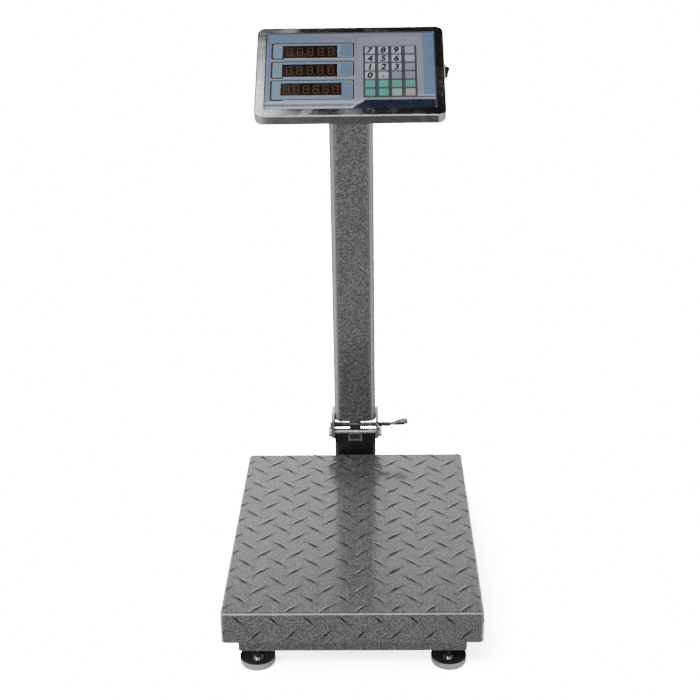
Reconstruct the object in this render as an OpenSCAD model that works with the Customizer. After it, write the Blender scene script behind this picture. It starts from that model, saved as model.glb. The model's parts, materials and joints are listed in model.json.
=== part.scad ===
// Price-computing platform scale with a folding column.
// Millimetres. +X is the operator's right, -Y faces the operator, +Z is up.
// The origin lies on the floor, under the middle of the scale's box.

/* [Platform] */
// Width of the weighing pan
pan_w = 300; // [280:10:360]
// Depth of the weighing pan, front to back
pan_d = 400; // [380:10:440]
// Depth of the pan's folded skirt
pan_skirt = 39; // [34:1:42]
// Thickness of the pan's steel sheet
pan_sheet = 1.5; // [1:0.5:2]
// Radius of the pan's corners
pan_corner = 5; // [4.5:0.5:8]
// Outer radius of the pan's folds
pan_fold = 3.5; // [2.5:0.5:4]

/* [Base frame] */
// Gap between the floor and the frame
frame_clear = 29; // [28:1:36]
// How far the frame stands in from the pan's edge
frame_inset = 17.5; // [14:0.5:22]
// Width of the cross rails
rail_w = 40; // [34:1:44]
// Height of the cross rails
rail_h = 25; // [24:1:28]
// Wall of the cross rails
rail_wall = 1.5; // [1:0.5:2]
// Width of the channel that joins the rails
spine_w = 60; // [50:1:70]
// Height of the channel that joins the rails
spine_h = 14; // [13:1:16]
// Sheet thickness of the channel
spine_sheet = 4; // [3:0.5:5]

/* [Levelling feet] */
// Diameter of the foot's chromed cup
cup_d = 42; // [36:1:46]
// Height of the cup's rim
cup_h = 10; // [8:0.5:12]
// Diameter of the foot's stud
stud_d = 8; // [8:1:12]
// Length of the stud inside the rail
stud_grip = 16; // [14:1:17]
// Height of the hexagon that the foot is turned by
foot_hex_h = 4; // [3:0.5:5]
// Height of the lock nut
locknut_h = 5; // [4:0.5:6]

/* [Load cell] */
// Length of the load cell
cell_l = 150; // [130:5:170]
// Width of the load cell
cell_w = 38; // [30:1:42]
// Height of the load cell
cell_h = 30; // [26:1:34]
// Diameter of the two bored holes that thin the beam
cell_bore = 20; // [14:1:22]
// Distance between the two bored holes
cell_bore_gap = 44; // [36:1:56]
// Gap that a seat leaves over and under the load cell
seat_h = 2; // [1.5:0.5:4]
// Distance from the cell's end to the middle of its seat
seat_in = 20; // [18:1:22]
// Height of the rubber pads under the pan
pad_h = 9.5; // [8:0.5:12]
// Diameter of the rubber pads
pad_d = 22; // [16:1:28]
// Diameter of the load cell's bolts
cell_bolt_d = 8; // [6:1:8]

/* [Column] */
// Width of the column tube
col_w = 58; // [54:1:64]
// Depth of the column tube, front to back
col_d = 38; // [36:1:46]
// Corner radius of the column tube
col_r = 11.5; // [8:0.5:12]
// Wall of the column tube
col_wall = 2; // [1.5:0.5:3]
// Gap between the pan's back edge and the column
col_gap = 10; // [8:1:14]
// Height of the fixed stub above the pan's top
stub_rise = 15.5; // [15:0.5:18]

/* [Hinge and lock] */
// Height of the hinge bolt above the stub
pivot_rise = 13.2; // [13:0.1:15]
// Diameter of the hinge bolt
bolt_d = 8; // [7.5:0.5:8.5]
// Outer diameter of the hinge barrel
barrel_d = 10; // [9.5:0.5:10.5]
// Thickness of the hinge cheeks
cheek_t = 4; // [3:0.5:5]
// Height of the lock rod above the hinge bolt
rod_rise = 11.7; // [11.5:0.1:13]
// Diameter of the lock rod
rod_d = 6.5; // [6:0.5:7]
// Width of the pawl that hooks behind the barrel
pawl_w = 16; // [12:1:17]
// Width of the notch between the stub's two lugs
notch_w = 19; // [18:1:22]
// Length of the lever's flat grip
grip_l = 28; // [22:1:36]
// Wire diameter of the lock spring
wire_d = 1.1; // [0.8:0.1:1.2]
// Turns of the lock spring
spring_turns = 7; // [5:1:8]

/* [Head] */
// Width of the head
head_w = 240; // [236:1:260]
// Length of the head's face, up its slope
head_h = 147; // [144:1:164]
// Depth of the head's front housing
housing_depth = 14; // [14:0.5:18]
// Depth of the head's rear cover
cover_depth = 4; // [3.5:0.5:6]
// Corner radius of the head
head_r = 10; // [8:0.5:14]
// Thickness of the head's steel sheet
head_sheet = 1.2; // [0.8:0.1:1.5]
// Slope of the head's face, measured from level
head_tilt = 38.5; // [30:0.5:45]
// Height of the face's lower edge above the pan's top
head_rise = 492.5; // [480:0.5:520]
// How far the face's lower edge stands in front of the column
head_fwd = 61; // [50:1:66]
// Side margin from the head's edge to the label panel
panel_side = 12; // [11:0.5:14]
// Margin under the label panel
panel_low = 11; // [9:0.5:13]
// Margin over the label panel
panel_high = 9.6; // [8.5:0.1:12]

/* [Keys] */
// Width of a key cap
key_w = 12.4; // [11:0.1:13]
// Height of a key cap
key_h = 11.2; // [9:0.1:11.4]
// Sideways distance between keys
key_dx = 16.8; // [16.4:0.1:17.5]
// Distance between rows of keys
key_dy = 13.9; // [13.6:0.1:14.4]
// Travel of a key
key_travel = 0.6; // [0.4:0.1:0.8]
// How far a key stands out of the label panel
key_rise = 1; // [0.8:0.1:1.5]

/* [Displays] */
// Height of a display window
win_h = 19.8; // [18:0.1:22]
// Width of the two upper display windows
win_w = 69.8; // [64:0.1:74]
// Width of the lowest display window
win_w_low = 76.3; // [70:0.1:82]
// Distance between display windows
win_dy = 31.1; // [30:0.1:33]

/* [Battery] */
// Width of the battery
bat_w = 51; // [46:1:54]
// Length of the battery
bat_l = 97; // [90:1:100]
// Thickness of the battery
bat_t = 24; // [20:1:26]

/* [Hidden] */
$fn = 64;
fit = 0.05;    // radial clearance of a running fit
gap = 0.3;     // gap between parts that move past each other
slack = 0.2;   // clearance round a part that drops into an opening
over = 1;      // overshoot of a cut

// Heights of the platform, from the floor up
spine_z = frame_clear;
seat_z = spine_z + spine_h;
cell_z = seat_z + seat_h;
plate_seat_z = cell_z + cell_h;
plate_z = plate_seat_z + seat_h;
plate_sheet = 3;
plate_lip = 14;
pad_z = plate_z + plate_sheet;
pan_under = pad_z + pad_h;
pan_top = pan_under + pan_sheet;

// Plan of the platform, from the pan's middle
frame_w = pan_w - 2 * frame_inset;
frame_d = pan_d - 2 * frame_inset;
rail_y = frame_d / 2 - rail_w / 2;
foot_x = frame_w / 2 - rail_w / 2;
spine_l = frame_d - 2 * rail_w;
seat_l = 2 * seat_in - 2;
cell_seat_y = cell_l / 2 - seat_in;
cell_bolt_dy = 20;
plate_in = 30;
pad_in = 20;
plate_w = pan_w - 2 * plate_in;
plate_d = pan_d - 2 * plate_in;
pad_x = plate_w / 2 - pad_in;
pad_y = plate_d / 2 - pad_in;
cell_head_h = 5.3;
cell_head_d = 13;
cup_edge = 4;      // radius of the cup's lower edge
cup_wall = 1;
cup_floor = 2.5;
foot_hex = stud_d + 5;

// Column and hinge
col_front = pan_d / 2 + col_gap;
col_y = col_front + col_d / 2;
arm_h = 20;
arm_z = frame_clear + 1;
stub_top = pan_top + stub_rise;
stub_cap = 3;
pivot_y = col_front + 2.5;
pivot_z = stub_top + pivot_rise;
rod_z = pivot_z + rod_rise;
hub_r = rod_d / 2 + 1.75;
col_z = rod_z + hub_r + gap;
lug_d = 10;
cheek_in = col_w / 2;
cheek_out = cheek_in + cheek_t;
cheek_top = col_z + 10;
cheek_round = 9;
cheek_lean = 2;
cheek_slope = 7;
heel_y = pivot_y + 12.5;
cheek_run = 30;
cheek_back = col_front + cheek_run;
washer_t = 1.6;
washer_d = 14;
hex_af = 13;
hex_h = 3;
nut_h = 3;
bolt_end = 0.5;    // how far the bolt stands out of its nut
bolt_out = cheek_out + washer_t;
pawl_r = pivot_rise - 1.2;
rod_head_t = 2;
rod_head_d = rod_d + 1.6;
rod_left = -cheek_out - gap - rod_head_t;
neck_l = 16;
grip_t = 4;
grip_d = 14;
grip_neck = 3;     // half the grip's width at the rod
grip_ease = 0.4;   // how far the grip's sides run inside its round end
pinch_r = 12;      // radius of the hollows that thin the grip's neck
pinch_in = 1.2;
grip_rise = 10;    // degrees

// Head, in its own frame: x across, y up the face, z out of the face
head_t = housing_depth + cover_depth;
head_y = col_front - head_fwd;
head_z = pan_top + head_rise;
fold_r = 2.5;
rear_fold = 2.5;
panel_w = head_w - 2 * panel_side;
panel_h = head_h - panel_low - panel_high;
panel_y = panel_low + panel_h / 2;
overlay_t = 1.5;
overlay_rim = 3;
overlay_top = -head_sheet;
overlay_low = overlay_top - overlay_t;
mount_in = 3;      // thickness of the head's mounting plate
mount_w = 64;
mount_edge = 4.8;  // distance from the plate's edges to its screws
mount_low = (col_front - head_y - head_t * sin(head_tilt)) / cos(head_tilt) - 10;
mount_high = mount_low + 20 + col_d / cos(head_tilt);
board_t = 1.6;
board_z = -10 - board_t;
board_margin = 3;
keypad_x = 50.6;
keypad_y = 71.9;
keypad_w = 4 * key_dx + 0.4;
keypad_h = 6 * key_dy + 1.2;
keypad_rim = 1.5;
window_left = -86.2;  // left edge of the two upper windows
window_out = 1;      // how far the lowest window starts to the left of them
window_y = 75.2;
window_drop = 0.3;
window_step = 1.2;
window_rim = 1;
window_ws = [win_w_low, win_w, win_w];
module_h = 5.8;
post_r = 5;
post_hole = 2;
post_x = head_w / 2 - 6;
post_low = 9;
post_top = overlay_low - gap;
post_foot = -head_t + head_sheet;
post_foot_r = 3.3;
post_blind = 3;    // solid length left at a post's top

// Battery box on the head's back
box_w = bat_w + 6;
box_l = bat_l + 6;
box_side = 46;
box_low = 27;
box_x = -box_side - box_w / 2;
box_y = box_low + box_l / 2;
box_depth = bat_t - 3;
box_r = 6;
ear_w = 14;
ear_l = 9;

// Power switch in the head's right wall
switch_y = 76;
switch_z = -8.6;
bezel_l = 16;
bezel_w = 11;
bezel_t = 2;
well_r = 6.9;
rocker_r = well_r - gap;
rocker_w = 7;
body_l = 2 * well_r + 1.2;
body_w = bezel_w - 2.4;
rocker_x = head_w / 2 + 1.6;
rocker_tilt = 12;
switch_in = 9;

// Power socket in the head's back
socket_x = 80;
socket_y = 26;
socket_r = 5.4;
socket_bore = 3.1;
socket_pin = 1;
socket_depth = 7.8;
socket_flange = 3;
socket_in = 5.8;

// Middle of the whole box, front to back
rear_edge = head_y + (head_h - rear_fold) * cos(head_tilt)
    + (head_t - rear_fold) * sin(head_tilt) + rear_fold;
mid_y = (rear_edge - pan_d / 2) / 2;

KEY_ROWS = [
    ["7", "8", "9", "light_1"],
    ["4", "5", "6", "light_2"],
    ["1", "2", "3", "grey_1"],
    ["0", "point", "grey_2", "grey_3"],
    ["teal_1", "teal_2", "teal_3", "teal_4"],
    ["green_1", "green_2", "mint", "pink"]
];
KEY_COLOURS = [
    ["whitesmoke", "whitesmoke", "whitesmoke", "gainsboro"],
    ["whitesmoke", "whitesmoke", "whitesmoke", "gainsboro"],
    ["whitesmoke", "whitesmoke", "whitesmoke", "darkgray"],
    ["whitesmoke", "whitesmoke", "darkgray", "darkgray"],
    ["cadetblue", "cadetblue", "cadetblue", "cadetblue"],
    ["mediumseagreen", "mediumseagreen", "palegreen", "lightpink"]
];
FEET = ["front_left", "front_right", "rear_left", "rear_right"];

function key_name(row, col) = str("key_", KEY_ROWS[row][col]);
function foot_name(i) = str("foot_", FEET[i]);
function foot_side(i) = i % 2 == 0 ? -1 : 1;
function foot_end(i) = i < 2 ? -1 : 1;

// ---- Shared shapes ----

module placed() translate([0, -mid_y, 0]) children();

module in_head() placed() translate([0, head_y, head_z]) rotate([head_tilt, 0, 0]) children();

// Two copies, one on each side of the plane x = 0
module both_sides() for (side = [0, 1]) mirror([side, 0, 0]) children();

// Rounded rectangle about the origin
module rounded(w, h, r) {
    square([w - 2 * r, h], center = true);
    square([w, h - 2 * r], center = true);
    for (x = [-1, 1], y = [-1, 1]) translate([x * (w / 2 - r), y * (h / 2 - r)]) circle(r);
}

// Profile swept round a rounded rectangle: x is measured out from the corner's centre
module rim(w, h, r) {
    cx = w / 2 - r;
    cy = h / 2 - r;
    corners = [[cx, cy], [-cx, cy], [-cx, -cy], [cx, -cy]];
    for (i = [0:3]) translate(corners[i]) rotate(90 * i) rotate_extrude(angle = 90) children();
    for (i = [0:1]) rotate(180 * i) {
        translate([cx, 0, 0]) rotate([90, 0, 0]) linear_extrude(2 * cy, center = true) children();
        translate([0, cy, 0]) rotate([90, 0, 90]) linear_extrude(2 * cx, center = true) children();
    }
}

// Half-section of a folded edge: flat top at y = 0, wall going down to -depth
module edge_block(r, depth, fold) {
    translate([0, -depth]) square([r, depth - fold]);
    translate([0, -fold]) square([r - fold, fold]);
    translate([r - fold, -fold]) circle(fold);
}

module folded_edge(r, depth, fold, sheet) intersection() {
    difference() {
        edge_block(r, depth, fold);
        translate([-over, -depth - over]) square([r - fold + over, depth + over - sheet]);
        translate([0, -depth - over]) square([r - sheet, depth + over - fold]);
        translate([r - fold, -fold]) circle(fold - sheet);
    }
    translate([0, -depth]) square([r, depth]);
}

// Sheet-metal tray, open below: top at z = 0
module folded_tray(w, h, r, depth, fold, sheet) {
    rim(w, h, r) folded_edge(r, depth, fold, sheet);
    translate([0, 0, -sheet / 2]) cube([w - 2 * r, h - 2 * r, sheet], center = true);
}

module tube_end_on(length, w, h, r, wall) linear_extrude(length) difference() {
    rounded(w, h, r);
    rounded(w - 2 * wall, h - 2 * wall, r - wall);
}

// Hexagonal prism by its width across flats, with a flat towards +X
module hex(af, h) rotate(30) cylinder(h = h, d = af / cos(30), $fn = 6);

// ---- Base frame ----

module cross_rail(end) placed() translate([0, end * rail_y, frame_clear]) difference() {
    translate([-frame_w / 2, -rail_w / 2, 0]) cube([frame_w, rail_w, rail_h]);
    translate([-frame_w / 2 + rail_wall, -rail_w / 2 + rail_wall, rail_wall])
        cube([frame_w - 2 * rail_wall, rail_w - 2 * rail_wall, rail_h - 2 * rail_wall]);
    both_sides() translate([foot_x, 0, -over]) cylinder(h = rail_wall + 2 * over, r = stud_d / 2 + fit);
}

module front_rail() color("dimgray") cross_rail(-1);
module rear_rail() color("dimgray") cross_rail(1);

module frame_spine() color("dimgray") placed() difference() {
    union() {
        translate([-spine_w / 2, -spine_l / 2, spine_z]) difference() {
            cube([spine_w, spine_l, spine_h]);
            translate([spine_sheet, -over, -over])
                cube([spine_w - 2 * spine_sheet, spine_l + 2 * over, spine_h - spine_sheet + over]);
        }
        translate([-cell_w / 2, cell_seat_y - seat_l / 2, seat_z]) cube([cell_w, seat_l, seat_h]);
    }
    for (dy = [-1, 1]) translate([0, cell_seat_y + dy * cell_bolt_dy / 2, spine_z])
        cylinder(h = spine_h + seat_h + over, r = cell_bolt_d / 2 + slack);
}

module foot_locknuts() color("silver") placed() for (x = [-1, 1], y = [-1, 1])
    translate([x * foot_x, y * rail_y, frame_clear - locknut_h]) difference() {
        hex(foot_hex, locknut_h);
        translate([0, 0, -over]) cylinder(h = locknut_h + 2 * over, r = stud_d / 2 + fit);
    }

// ---- Levelling feet ----

// Half-section of a bowl with a rounded lower edge: x runs out, y runs up
module bowl_section(r, h, edge) {
    square([r - edge, h]);
    translate([0, edge]) square([r, h - edge]);
    translate([r - edge, edge]) circle(edge);
}

// Half-section of the cup with its stud
module foot_profile() {
    difference() {
        bowl_section(cup_d / 2, cup_h, cup_edge);
        translate([0, cup_floor]) bowl_section(cup_d / 2 - cup_wall, cup_h, cup_edge - cup_wall);
    }
    square([stud_d / 2, frame_clear + stud_grip]);
}

module foot(i) color("silver") placed()
    translate([foot_side(i) * foot_x, foot_end(i) * rail_y, 0]) {
        rotate_extrude() foot_profile();
        translate([0, 0, cup_floor - cup_wall]) hex(foot_hex, foot_hex_h + cup_wall);
    }

// ---- Load cell and pan ----

module load_cell() color("lightsteelblue") placed() difference() {
    translate([-cell_w / 2, -cell_l / 2, cell_z]) cube([cell_w, cell_l, cell_h]);
    translate([0, 0, cell_z + cell_h / 2]) rotate([0, 90, 0]) {
        for (dy = [-1, 1]) translate([0, dy * cell_bore_gap / 2, 0])
            cylinder(h = cell_w + 2 * over, d = cell_bore, center = true);
        cube([cell_bore / 2, cell_bore_gap, cell_w + 2 * over], center = true);
    }
    for (end = [-1, 1], dy = [-1, 1])
        translate([0, end * cell_seat_y + dy * cell_bolt_dy / 2, cell_z + (end < 0 ? cell_h / 2 : -over)])
            cylinder(h = cell_h / 2 + over, r = cell_bolt_d / 2);
}

// A cap screw, head down at z = 0, shank going up
module cap_screw(head_r, head_h, shank_r, shank_l) {
    translate([0, 0, -head_h]) cylinder(h = head_h, r = head_r);
    cylinder(h = shank_l, r = shank_r);
}

module load_cell_bolts() color("dimgray") placed() for (dy = [-1, 1]) {
    translate([0, cell_seat_y + dy * cell_bolt_dy / 2, seat_z - spine_sheet])
        cap_screw(cell_head_d / 2, cell_head_h, cell_bolt_d / 2 - fit, spine_sheet + seat_h + cell_h / 3);
    translate([0, -cell_seat_y + dy * cell_bolt_dy / 2, pad_z]) mirror([0, 0, 1])
        cap_screw(cell_head_d / 2, cell_head_h, cell_bolt_d / 2 - fit, plate_sheet + seat_h + cell_h / 3);
}

module load_plate() color("gray") placed() difference() {
    union() {
        translate([0, 0, pad_z]) folded_tray(plate_w, plate_d, 8, plate_lip, 5, plate_sheet);
        translate([-cell_w / 2, -cell_seat_y - seat_l / 2, plate_seat_z]) cube([cell_w, seat_l, seat_h]);
    }
    for (dy = [-1, 1]) translate([0, -cell_seat_y + dy * cell_bolt_dy / 2, plate_seat_z - over])
        cylinder(h = seat_h + plate_sheet + 2 * over, r = cell_bolt_d / 2 + slack);
}

module pan_pads() color("black") placed() for (x = [-1, 1], y = [-1, 1])
    translate([x * pad_x, y * pad_y, pad_z]) cylinder(h = pad_h, d = pad_d);

module pan() color("gray") placed() translate([0, 0, pan_top])
    folded_tray(pan_w, pan_d, pan_corner, pan_skirt, pan_fold, pan_sheet);

// ---- Stub and hinge ----

module column_arm() color("dimgray") placed() {
    arm_l = col_front + col_d - frame_d / 2;
    translate([-col_w / 2, frame_d / 2, arm_z]) difference() {
        cube([col_w, arm_l, arm_h]);
        translate([col_wall, -over, col_wall])
            cube([col_w - 2 * col_wall, arm_l - col_wall + over, arm_h - 2 * col_wall]);
    }
}

module stub() color("dimgray") placed() difference() {
    union() {
        translate([0, col_y, arm_z + arm_h])
            tube_end_on(stub_top - arm_z - arm_h - stub_cap, col_w, col_d, col_r, col_wall);
        translate([0, col_y, stub_top - stub_cap]) linear_extrude(stub_cap) rounded(col_w, col_d, col_r);
        // Ears that the upright column's cheeks rest on
        translate([-cheek_out, heel_y - 2, stub_top - stub_cap])
            cube([2 * cheek_out, cheek_back - heel_y + 2, stub_cap]);
        // Lugs that carry the hinge barrel
        both_sides() translate([notch_w / 2, pivot_y - lug_d / 2, stub_top - over])
            cube([(col_w - notch_w) / 2 - gap, lug_d, pivot_rise + over]);
    }
    translate([0, pivot_y, pivot_z]) rotate([0, 90, 0])
        cylinder(h = col_w + 2 * cheek_t, d = barrel_d, center = true);
}

module hinge_barrel() color("silver") placed() translate([0, pivot_y, pivot_z]) rotate([0, 90, 0])
    difference() {
        cylinder(h = 2 * (cheek_in - gap), d = barrel_d, center = true);
        cylinder(h = 2 * cheek_out, r = bolt_d / 2 + fit, center = true);
    }

// One cheek's outline: x runs back, y runs up
module cheek_outline() {
    translate([pivot_y, pivot_z]) circle(cheek_round);
    polygon([
        [pivot_y - cheek_round, pivot_z],
        [pivot_y - cheek_round + cheek_lean, cheek_top - cheek_slope],
        [pivot_y, cheek_top],
        [cheek_back, cheek_top],
        [cheek_back, stub_top + gap],
        [heel_y, stub_top + gap],
        [pivot_y, pivot_z]]);
}

module hinge_cheeks() color("silver") placed() both_sides() difference() {
    translate([cheek_in, 0, 0]) rotate([90, 0, 90]) linear_extrude(cheek_t) cheek_outline();
    translate([cheek_in - over, pivot_y, pivot_z]) rotate([0, 90, 0])
        cylinder(h = cheek_t + 2 * over, r = bolt_d / 2 + slack);
    translate([cheek_in - over, pivot_y, rod_z]) rotate([0, 90, 0])
        cylinder(h = cheek_t + 2 * over, r = rod_d / 2 + fit);
}

module hinge_bolt() color("silver") placed() translate([0, pivot_y, pivot_z]) rotate([0, 90, 0]) {
    // Bolt, with its head on the left
    translate([0, 0, -bolt_out - hex_h]) hex(hex_af, hex_h);
    translate([0, 0, -bolt_out - 1]) cylinder(h = 2 * bolt_out + nut_h + 1 + bolt_end, d = bolt_d);
    both_sides_of_hinge() translate([0, 0, cheek_out]) loose_ring(washer_d / 2, washer_t);
    translate([0, 0, bolt_out]) difference() {
        hex(hex_af, nut_h);
        translate([0, 0, -over]) cylinder(h = nut_h + 2 * over, r = bolt_d / 2 + fit);
    }
}

module both_sides_of_hinge() for (side = [0, 1]) mirror([0, 0, side]) children();

module loose_ring(r, h) difference() {
    cylinder(h = h, r = r);
    translate([0, 0, -over]) cylinder(h = h + 2 * over, r = bolt_d / 2 + fit);
}

// ---- Lock: rod with grip, pawl and spring ----

module lock_lever() color("dimgray") placed() translate([0, pivot_y, rod_z]) {
    rod_right = cheek_out + neck_l;
    translate([rod_left, 0, 0]) rotate([0, 90, 0]) {
        cylinder(h = rod_right - rod_left, d = rod_d);
        cylinder(h = rod_head_t, d = rod_head_d);
    }
    translate([rod_right - 2, 0, 0]) rotate([0, -grip_rise, 0]) difference() {
        translate([0, 0, -grip_t / 2]) linear_extrude(grip_t) grip_plan();
        for (side = [-1, 1]) translate([2 * grip_neck, 0, side * (grip_t / 2 + pinch_r - pinch_in)])
            rotate([90, 0, 0]) cylinder(h = grip_d + 2 * over, r = pinch_r, center = true);
    }
}

// The grip seen from above: it widens from the rod to its rounded end
module grip_plan() {
    end_r = grip_d / 2;
    end_x = grip_l - end_r;
    translate([end_x, 0]) circle(end_r);
    polygon([[0, -grip_neck], [end_x, grip_ease - end_r], [end_x, end_r - grip_ease], [0, grip_neck]]);
}

module lock_pawl() color("dimgray") placed()
    translate([0, pivot_y, pivot_z]) rotate([90, 0, 90]) linear_extrude(pawl_w, center = true)
        difference() {
            union() {
                translate([0, rod_rise]) circle(hub_r);
                intersection() {
                    circle(pawl_r);
                    translate([0, -pawl_r]) square([pawl_r, pawl_r + rod_rise]);
                }
            }
            circle(barrel_d / 2 + 0.4);
            translate([0, rod_rise]) circle(rod_d / 2 + fit);
        }

// Lock spring: a coil of round wire whose straight end leans back under the tube
coil_r = rod_d / 2 + gap + wire_d / 2;
coil_l = 12;
coil_x = -cheek_in + 1;
coil_steps = 14;
wire_sides = 8;
leg_l = 7;
leg_steps = 2;
coil_n = coil_steps * spring_turns;

function coil_angle(i) = 90 + 360 * i / coil_steps;
function coil_point(i) = [coil_x + coil_l * i / coil_n, coil_r * cos(coil_angle(i)), coil_r * sin(coil_angle(i))];
function coil_across(i) = [0, cos(coil_angle(i)), sin(coil_angle(i))];
function coil_path() = concat(
    [for (k = [leg_steps:-1:1]) coil_point(0) + [0, k * leg_l / leg_steps, 0]],
    [for (i = [0:coil_n]) coil_point(i)]);
function coil_normals() = concat(
    [for (k = [leg_steps:-1:1]) coil_across(0)],
    [for (i = [0:coil_n]) coil_across(i)]);

module lock_spring() color("gray") placed() translate([0, pivot_y, rod_z]) {
    path = coil_path();
    normals = coil_normals();
    last = len(path) - 1;
    points = [for (i = [0:last], k = [0:wire_sides - 1])
        path[i] + wire_d / 2 * (cos(360 * k / wire_sides) * normals[i]
            + sin(360 * k / wire_sides) * [1, 0, 0])];
    sides = [for (i = [0:last - 1], k = [0:wire_sides - 1])
        let (a = i * wire_sides, n = (k + 1) % wire_sides)
            [a + k, a + n, a + wire_sides + n, a + wire_sides + k]];
    start = [for (k = [wire_sides - 1:-1:0]) k];
    end = [for (k = [0:wire_sides - 1]) last * wire_sides + k];
    polyhedron(points, concat(sides, [start, end]));
}

// ---- Column ----

module column_tube() color("gray") difference() {
    placed() translate([0, col_y, col_z])
        tube_end_on(head_z - col_z + head_h, col_w, col_d, col_r, col_wall);
    in_head() translate([-head_w, -head_h, -head_t - mount_in]) cube([2 * head_w, 4 * head_h, 4 * head_h]);
}

module head_plate() color("dimgray") in_head() difference() {
    translate([0, (mount_low + mount_high) / 2, -head_t - mount_in]) linear_extrude(mount_in)
        rounded(mount_w, mount_high - mount_low, 5);
    mount_screw_spots() translate([0, 0, -head_t - mount_in - over])
        cylinder(h = mount_in + 2 * over, r = 2 + slack);
}

module mount_screw_spots() for (x = [-1, 1], y = [mount_low + mount_edge, mount_high - mount_edge])
    translate([x * (mount_w / 2 - mount_edge), y, 0]) children();

// ---- Head ----

module post_spots() for (x = [-1, 1], y = [post_low, head_h - post_low])
    translate([x * post_x, y, 0]) children();

module front_housing() color("gainsboro") in_head() difference() {
    union() {
        translate([0, head_h / 2, 0])
            folded_tray(head_w, head_h, head_r, housing_depth, fold_r, head_sheet);
        post_spots() {
            translate([0, 0, -housing_depth]) cylinder(h = housing_depth + post_top, r = post_r);
            translate([0, 0, post_foot]) cylinder(h = post_top - post_foot, r = post_foot_r);
        }
    }
    translate([0, panel_y, -head_sheet - over]) linear_extrude(head_sheet + 2 * over)
        rounded(panel_w, panel_h, 3);
    post_spots() translate([0, 0, post_foot - over])
        cylinder(h = post_top - post_foot + over - post_blind, r = post_hole);
    translate([head_w / 2 - head_sheet - over, switch_y - body_l / 2 - slack, switch_z - body_w / 2 - slack])
        cube([head_sheet + 2 * over, body_l + 2 * slack, body_w + 2 * slack]);
}

module rear_cover() color("gainsboro") in_head() difference() {
    translate([0, head_h / 2, -head_t]) mirror([0, 0, 1])
        folded_tray(head_w, head_h, head_r, cover_depth, rear_fold, head_sheet);
    translate([box_x, box_y, -head_t - over]) linear_extrude(head_sheet + 2 * over)
        rounded(box_w - 3, box_l - 3, box_r - 1.5);
    post_spots() translate([0, 0, -head_t - over]) cylinder(h = head_sheet + 2 * over, r = post_hole + slack);
    mount_screw_spots() translate([0, 0, -head_t - over])
        cylinder(h = head_sheet + 2 * over, r = 2 + slack);
    ear_spots() translate([0, 0, -head_t - over]) cylinder(h = head_sheet + 2 * over, r = 1.5 + slack);
    translate([socket_x, socket_y, -head_t - over])
        cylinder(h = head_sheet + 2 * over, r = socket_r + slack);
}

module ear_spots() for (end = [-1, 1])
    translate([box_x, box_y + end * (box_l / 2 + ear_l / 2), 0]) children();

module battery_cover() color("gainsboro") in_head() difference() {
    union() {
        translate([box_x, box_y, -head_t - box_depth]) mirror([0, 0, 1])
            folded_tray(box_w, box_l, box_r, box_depth, 3, head_sheet);
        for (end = [-1, 1]) translate([box_x, box_y + end * (box_l / 2 + ear_l / 2 - head_sheet / 2), 0])
            translate([-ear_w / 2, -ear_l / 2 - head_sheet / 4, -head_t - head_sheet])
                cube([ear_w, ear_l + head_sheet / 2, head_sheet]);
    }
    ear_spots() translate([0, 0, -head_t - head_sheet - over])
        cylinder(h = head_sheet + 2 * over, r = 1.5 + slack);
}

module battery() color("black") in_head()
    translate([box_x, box_y, -head_t - box_depth + head_sheet + gap]) linear_extrude(bat_t)
        rounded(bat_w, bat_l, 2);

module screw(r, h, shank_r, shank_l) mirror([0, 0, 1]) {
    cylinder(h = h, r = r);
    mirror([0, 0, 1]) cylinder(h = shank_l, r = shank_r);
}

module head_screws() color("silver") in_head() {
    post_spots() translate([0, 0, -head_t]) screw(3.6, 2.2, post_hole - fit, 10);
    mount_screw_spots() translate([0, 0, -head_t - mount_in]) screw(4, 2.4, 2, 7);
    ear_spots() translate([0, 0, -head_t - head_sheet]) screw(3, 1.8, 1.5, 5);
}

module keypad_opening(extra) translate([keypad_x, keypad_y])
    square([keypad_w + 2 * extra, keypad_h + 2 * extra], center = true);

// Outline of display window i, counted up from the lowest, grown by extra
module window_shape(i, extra) translate([window_left + window_ws[i] / 2 - (i == 0 ? window_out : 0),
    window_y + (i - 1) * win_dy])
        square([window_ws[i] + 2 * extra, win_h + 2 * extra], center = true);

module face_overlay() color("lightsteelblue") in_head() translate([0, 0, overlay_low])
    linear_extrude(overlay_t) difference() {
        translate([0, panel_y])
            square([panel_w + 2 * overlay_rim, panel_h + 2 * overlay_rim], center = true);
        keypad_opening(slack);
        for (i = [0:2]) window_shape(i, slack);
    }

module display_windows() color("maroon") in_head() for (i = [0:2]) {
    translate([0, 0, overlay_low - window_step]) linear_extrude(window_step) window_shape(i, window_rim);
    translate([0, 0, overlay_low - window_step])
        linear_extrude(window_step + overlay_t - window_drop) window_shape(i, 0);
}

module display_modules() color("black") in_head() for (i = [0:2])
    translate([0, 0, board_z + board_t]) linear_extrude(module_h) window_shape(i, -0.5);

module keypad_plate() color("slategray") in_head() difference() {
    union() {
        translate([0, 0, overlay_low]) linear_extrude(overlay_t) keypad_opening(0);
        translate([0, 0, board_z + board_t]) linear_extrude(overlay_low - board_z - board_t)
            keypad_opening(keypad_rim);
    }
    translate([0, 0, board_z]) linear_extrude(overlay_low - board_z - 0.8) keypad_opening(-1);
    for (row = [0:5], col = [0:3]) at_key(row, col) translate([0, 0, overlay_low - over])
        linear_extrude(overlay_t + 2 * over) square([key_w + 2 * gap, key_h + 2 * gap], center = true);
}

module main_board() color("darkgreen") in_head() translate([0, panel_y, board_z])
    linear_extrude(board_t)
        square([panel_w - 2 * board_margin, panel_h - 2 * board_margin], center = true);

module at_key(row, col) translate([keypad_x + (col - 1.5) * key_dx, keypad_y + (2.5 - row) * key_dy, 0])
    children();

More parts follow.
